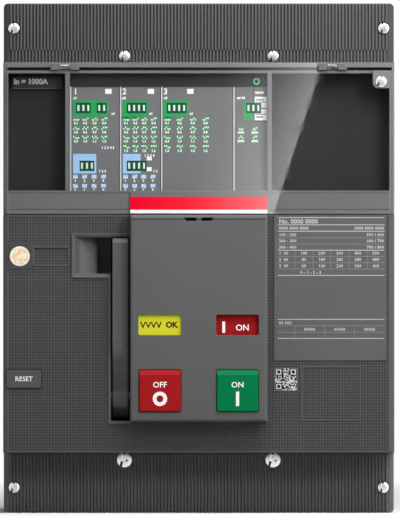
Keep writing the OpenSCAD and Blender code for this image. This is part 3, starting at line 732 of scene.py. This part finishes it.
# a switch's place in a cell, half a cell's height, and one switch's mark
code_pitch, cell_half = 0.88, 1.05
mark_side, mark_width, mark_height = 0.17, 0.54, 0.85
cell_grounds = {"green": [], "blue": []}
code_marks = []
values = []
for lefts, rows, switches, ink in tables:
    for r, z in enumerate(rows):
        for c, x in enumerate(lefts):
            code = r * len(lefts) + c
            cell_grounds[ink].append(
                (x, x + code_pitch * switches, z - cell_half, z + cell_half)
            )
            for s in range(switches):
                up = code >> (switches - 1 - s) & 1
                low = z - mark_height + mark_height * up
                mark_left = x + mark_side + code_pitch * s
                code_marks.append((mark_left, mark_left + mark_width, low, low + mark_height))
            if switches == 4:
                value = f"{(code + 1) / 10:.1f}"
            else:
                value = f"{code + 1}" if ink == "blue" else f"{code + 1}000"
            values.append(letters(value, x + 0.4 * switches, z - 2.75, 1.3, face_y,
                                  fat=0.1, align="CENTER", smooth=1))
one_print("code_grounds_green", [patches(cell_grounds["green"], face_y)], green_ink)
one_print("code_grounds_blue", [patches(cell_grounds["blue"], face_y)], blue_ink)
one_print("code_marks", [patches(code_marks, over_print)], white_ink)
small = [
    letters(words, x, z, 1.35, face_y, fat=0.1, smooth=1)
    for words, x, z in (
        ("x1", -67.3, 85.3), ("x2", -41.0, 85.3), ("x3", -18.7, 85.3), ("x4 00", 20.5, 85.3),
        ("00000", 30.2, 88.1),
        ("x1", -46.8, 76.9), ("x1", -26.6, 76.9), ("x1", -4.9, 76.9),
        ("1 2 3 4 5", -52.2, 58.6), ("1 2 3", -53.6, 46.0), ("1 2 3 4", -29.2, 54.4),
        ("1 2", -24.6, 46.0),
    )
]
one_print("face_small_figures", values + small, white_ink)


def flat_ring(radius, width, thick, sides, x, z, face_y):
    """A thin ring on a face, sizes and place in mm. Returns the piece."""
    bpy.ops.object.select_all(action="DESELECT")
    bpy.ops.mesh.primitive_circle_add(vertices=sides, radius=radius * mm, fill_type="NGON")
    ring = bpy.context.object
    bpy.ops.object.mode_set(mode="EDIT")
    bpy.ops.mesh.select_mode(type="FACE")
    bpy.ops.mesh.select_all(action="SELECT")
    bpy.ops.mesh.inset(thickness=width * mm)
    bpy.ops.mesh.delete(type="FACE")
    thicken((0, 0, thick * mm))
    ring.rotation_euler = (math.radians(90), 0, 0)
    ring.location = (x * mm, face_y, z * mm)
    bpy.ops.object.transform_apply(location=True, rotation=True, scale=True)
    return ring


# the lamp ring: the moulded end of a light guide, its green glow painted as bright ink
header_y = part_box("trip_header")[0][1]
lamp_ring = flat_ring(radius=1.75, width=0.65, thick=0.2, sides=40,
                      x=31.0, z=94.8, face_y=header_y)
one_print("lamp_ring", [lamp_ring], printing_ink("painted_glow_green", tone(96, 214, 124)))

# ---- Setting switches ----------------------------------------------------
# Banks of small slide switches in the face: dark green bodies, white sliders. They
# are moulded, soldered to the board inside, and reach through openings in the face.

switch_green = moulded_plastic("switch_green", tone(14, 84, 56), grain=0.25, depth=0.1,
                               roughness=0.4, wear_and_highlight=0.5)
slider_white = moulded_plastic("slider_white", tone(224, 238, 226), grain=0.25, depth=0.1,
                               roughness=0.4)
finish_part("dip_windows", switch_green)
finish_part("dip_toggles", slider_white)

# ---- Red stripe ----------------------------------------------------------
# A self-adhesive stripe in red over a white line. It is printed film, cut to length
# and pressed on to the smooth band under the trip unit.

stripe_red = printing_ink("stripe_red", tone(252, 0, 44), sheen=0.0)
stripe_white = printing_ink("stripe_white", tone(254, 254, 254), patchy=0.01)
finish_part("stripe_band", stripe_red)
finish_part("stripe_line", stripe_white)

# ---- Clear cover and hinges ----------------------------------------------
# The trip unit is sealed by a clear polycarbonate cover that lifts on two pins.
# The sheet is 2 mm thick, polished, and very slightly smoky.

clear_sheet, nt, skin = new_finish("clear_polycarbonate")
nt.nodes.remove(skin)
place = shader(nt, "ShaderNodeTexCoord").outputs["Object"]
haze = ranged(nt, noise(nt, place, 90, 5), 0.45, 0.8, onto=(0.0, 0.05))
polish = shader(nt, "ShaderNodeBsdfGlossy", {"Color": (1, 1, 1, 1), "Roughness": haze})
smoky = shader(nt, "ShaderNodeBsdfTransparent", {"Color": (0.99, 0.991, 0.992, 1)})
# how much the polish mirrors: three hundredths straight on, and more at a slant
slant = shader(nt, "ShaderNodeLayerWeight", {"Blend": 0.5})
mirrored = maths(nt, "MULTIPLY_ADD", maths(nt, "POWER", slant.outputs["Facing"], 5), 0.9, 0.03)
sheet = shader(nt, "ShaderNodeMixShader",
               {"Fac": mirrored, 1: smoky.outputs["BSDF"], 2: polish.outputs["BSDF"]})
feed(nt, nt.nodes["Material Output"], {"Surface": sheet.outputs["Shader"]})
finish_part("clear_cover", clear_sheet)
hinge_grey = moulded_plastic("hinge_grey", tone(98, 98, 99), grain=0.3, depth=0.15)
finish_part("cover_hinges", hinge_grey)

# ---- Operating panel -----------------------------------------------------
# The raised panel over the mechanism: one moulding in smooth mid grey, rounded along
# its sides, that clips into the front shield.

panel_grey = moulded_plastic("panel_grey", tone(89, 89, 89), grain=0.32, depth=0.22,
                             wear_and_highlight=0.35)
finish_part("operating_panel", panel_grey)

# ---- Indicator flags -----------------------------------------------------
# Two sunk windows with printed flags: yellow for the spring, red for the contacts.
# The flags are thin plates on the shafts of the mechanism.

flag_yellow = printing_ink("flag_yellow", tone(208, 208, 34), patchy=0.04)
flag_red = printing_ink("flag_red", tone(164, 24, 28), patchy=0.05, sheen=0.1)
finish_part("spring_flag", flag_yellow)
finish_part("contact_flag", flag_red)
flag_low, flag_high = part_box("spring_flag")
flag_y = flag_low[1]
flag_z = (flag_low[2] + flag_high[2]) / 2 / mm
one_print(
    "spring_flag_print",
    [letters("VVVV", -25.6, flag_z - 1.7, 3.3, flag_y, fat=0.1, align="CENTER"),
     letters("OK", -14.5, flag_z - 1.4, 3.0, flag_y, fat=0.2, align="CENTER")],
    black_ink,
)
one_print(
    "contact_flag_print",
    [patches([(12.6, 14.1, flag_z - 4.3, flag_z + 1.8)], flag_y),
     letters("ON", 23.4, flag_z - 3.0, 3.2, flag_y, fat=0.06, align="CENTER")],
    white_ink,
)

# ---- Push buttons --------------------------------------------------------
# Square moulded buttons, red for off and green for on, each with its symbol and
# its word printed in white on the face.

button_red = moulded_plastic("button_red", tone(162, 26, 28), grain=0.28, depth=0.16,
                             roughness=0.42, wear_and_highlight=0.0, sheen=0.06)
button_green = moulded_plastic("button_green", tone(0, 118, 68), grain=0.28, depth=0.16,
                               roughness=0.42, wear_and_highlight=0.0, sheen=0.06)
finish_part("off_button", button_red)
finish_part("on_button", button_green)
button_low, button_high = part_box("off_button")
button_x = 20.8
button_y = button_low[1]
button_z = (button_low[2] + button_high[2]) / 2 / mm
off_ring = flat_ring(radius=3.85, width=2.0, thick=patch_film, sides=64,
                     x=-button_x, z=button_z - 4.3, face_y=button_y)
one_print(
    "off_button_print",
    [off_ring,
     letters("OFF", -button_x, button_z + 1.8, 3.0, button_y, fat=0.06, align="CENTER")],
    white_ink, body="off_button",
)
one_print(
    "on_button_print",
    [patches([(button_x - 0.85, button_x + 0.85, button_z - 8.1, button_z - 0.4)], button_y),
     letters("ON", button_x, button_z + 1.8, 3.0, button_y, fat=0.06, align="CENTER")],
    white_ink, body="on_button",
)

# ---- Reset button --------------------------------------------------------
# A flat rectangular button at the left edge, with one printed word. It is moulded in
# grey and slides in an opening of the front shield.

reset_grey = moulded_plastic("reset_grey", tone(78, 79, 80), grain=0.35, depth=0.2, wear_and_highlight=0.4)
finish_part("reset_button", reset_grey)
reset_low, reset_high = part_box("reset_button")
reset_x, reset_z = ((reset_low[axis] + reset_high[axis]) / 2 / mm for axis in (0, 2))
one_print(
    "reset_print",
    [letters("RESET", reset_x, reset_z - 1.2, 2.5, reset_low[1], fat=0.03, align="CENTER")],
    white_ink, body="reset_button",
)

# ---- Charging lever ------------------------------------------------------
# The long handle that winds the closing spring. It is one moulding in satin grey
# plastic, and turns on a steel pin.

lever_grey = moulded_plastic("lever_grey", tone(91, 91, 91), grain=0.3, depth=0.1,
                             roughness=0.3, wear_and_highlight=0.0, sheen=0.36, soft_edge=1.6)
pin_steel = metal("pin_steel", tone(120, 121, 124), 0.35, brush=0.1)
finish_part("charging_lever", lever_grey)
finish_part("lever_pin", pin_steel)

# ---- Nameplate -----------------------------------------------------------
# A thin smooth label with a ruled table in white. Its names are left off, and the
# cells hold plain numbers.

label_grey = moulded_plastic("label_grey", tone(91, 91, 91), grain=0.25, depth=0.08,
                             roughness=0.45, wear_and_highlight=0.3)
finish_part("nameplate", label_grey)
name_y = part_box("nameplate")[0][1]
left, right = 42.4, 99.6
strong_half, fine_half, upright_half = 0.2, 0.11, 0.1
rules = [
    (left, right, z - strong_half, z + strong_half)
    for z in (21.7, 17.8, 14.4, 4.2, -9.3, -32.9, -43.1)
]
fine_rules = [
    (left, right, z - fine_half, z + fine_half)
    for z in (10.9, 7.5, 0.9, -2.5, -5.9, -36.3, -39.8)
]
for uprights, bottom, top in (
    ((51.5, 61.3, 70.7, 80.6, 90.3), -5.9, 4.2), ((51.5, 67.6, 83.6), -43.1, -36.3)
):
    fine_rules += [(x - upright_half, x + upright_half, bottom, top) for x in uprights]
one_print("nameplate_rules", [patches(rules, name_y)], soft_white_ink)
one_print("nameplate_fine_rules", [patches(fine_rules, name_y)], grey_ink)

text_left, text_right = 43.0, 99.4


def entry(words, x, z, align="LEFT", fat=0.06):
    """One entry in the small type of the nameplate. Returns the piece."""
    return letters(words, x, z, 1.7, name_y, fat=fat, align=align, smooth=1)


figures = [letters("No. 0000 0000", text_left, 18.5, 2.4, name_y, fat=0.09),
           entry("00 000", text_left, -35.6),
           entry("0000 0000 0000", text_left, 15.2, fat=0.08),
           entry("0000 0000 0000", text_right, 15.2, "RIGHT", fat=0.08)]
for row, z in enumerate((11.7, 8.4, 5.0)):
    figures.append(entry(f"{row + 1}00 - {row + 2}00", text_left, z))
    figures.append(entry(f"{row + 5}00 / {row + 6}00", text_right, z, "RIGHT"))
for row, z in enumerate((1.8, -1.6, -5.0)):
    figures.append(entry(f"{row + 1}  00", text_left, z))
    for column, x in enumerate((56.4, 66.0, 75.6, 85.4, 95.0)):
        figures.append(entry(f"{(column + 1) * 100 - row * 20}", x, z, "CENTER"))
figures.append(entry("0 - 1 - 2 - 3", 54.5, -8.5))
for x in (59.5, 75.6, 91.6):
    figures.append(entry("00000", x, -39.1, "CENTER"))
one_print("nameplate_figures", figures, soft_white_ink)

# ---- Small plates on the field -------------------------------------------
# A data plate, a smooth blank, and a paper seal on its own little plate, with a
# square of printed modules that mean nothing.

finish_part("seal_plate", moulded_plastic("plain_plate", tone(70, 70, 71), grain=0.3,
                                          depth=0.15, wear_and_highlight=0.5))
raised_rim = moulded_plastic("raised_rim", tone(86, 86, 87), grain=0.3, depth=0.1, wear_and_highlight=0.0)
finish_part("data_label", raised_rim)
finish_part("blank_plate", raised_rim)

# the seal's paper: mottled cream, paler towards its rim
seal_paper = printing_ink("seal_paper", tone(250, 250, 250), patchy=0.02)
nt = seal_paper.node_tree
skin = nt.nodes["Principled BSDF"]
was = skin.inputs["Base Color"].links[0].from_socket
seal_low, seal_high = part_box("seal_disc")
seal_radius = (seal_high[0] - seal_low[0]) / 2
centred = shader(nt, "ShaderNodeMapping", {
    "Vector": shader(nt, "ShaderNodeTexCoord").outputs["Object"],
    "Location": [-(low + high) / 2 for low, high in zip(seal_low, seal_high)],
}).outputs["Vector"]
warm = shader(nt, "ShaderNodeValToRGB", {"Fac": noise(nt, centred, 500, 2)})
for stop, at, colour in zip(
    warm.color_ramp.elements, (0.35, 0.65), (tone(240, 200, 164), tone(250, 246, 214))
):
    stop.position, stop.color = at, colour
from_middle = shader(nt, "ShaderNodeVectorMath", {0: centred}, operation="LENGTH")
rim = ranged(nt, from_middle.outputs["Value"], 0.8 * seal_radius, 0.98 * seal_radius,
             smooth=True)
mottled = blend(nt, rim, warm.outputs["Color"], tone(252, 253, 240))
feed(nt, skin, {"Base Color": blend(nt, 1, mottled, was, blend_type="MULTIPLY")})
finish_part("seal_disc", seal_paper)

# the module square: a grid with three finder squares, and chance in the rest
cell = 0.555
side = 21 * cell
square_left, square_top = 41.0, -59.2
margin = 0.1
modules = []
scatter = random.Random(11)
for row in range(21):
    for column in range(21):
        corner = (row < 7 or row > 13) and (column < 7 or (column > 13 and row < 7))
        ring_row, ring_column = row % 14, column % 14
        if corner and ring_row < 7 and ring_column < 7:
            dark = 3 - max(abs(ring_row - 3), abs(ring_column - 3)) in (0, 2, 3)
        else:
            dark = scatter.random() < 0.56
        if dark:
            x, z = square_left + cell * column, square_top - cell * row
            modules.append((x, x + cell, z - cell, z))
one_print(
    "module_ground",
    [patches([(square_left - margin, square_left + side + margin,
               square_top - side - margin, square_top + margin)], shield_face)],
    printing_ink("module_white", tone(214, 214, 214)),
)
one_print("module_square", [patches(modules, shield_face - patch_film * mm, proud=0.02)],
          black_ink)
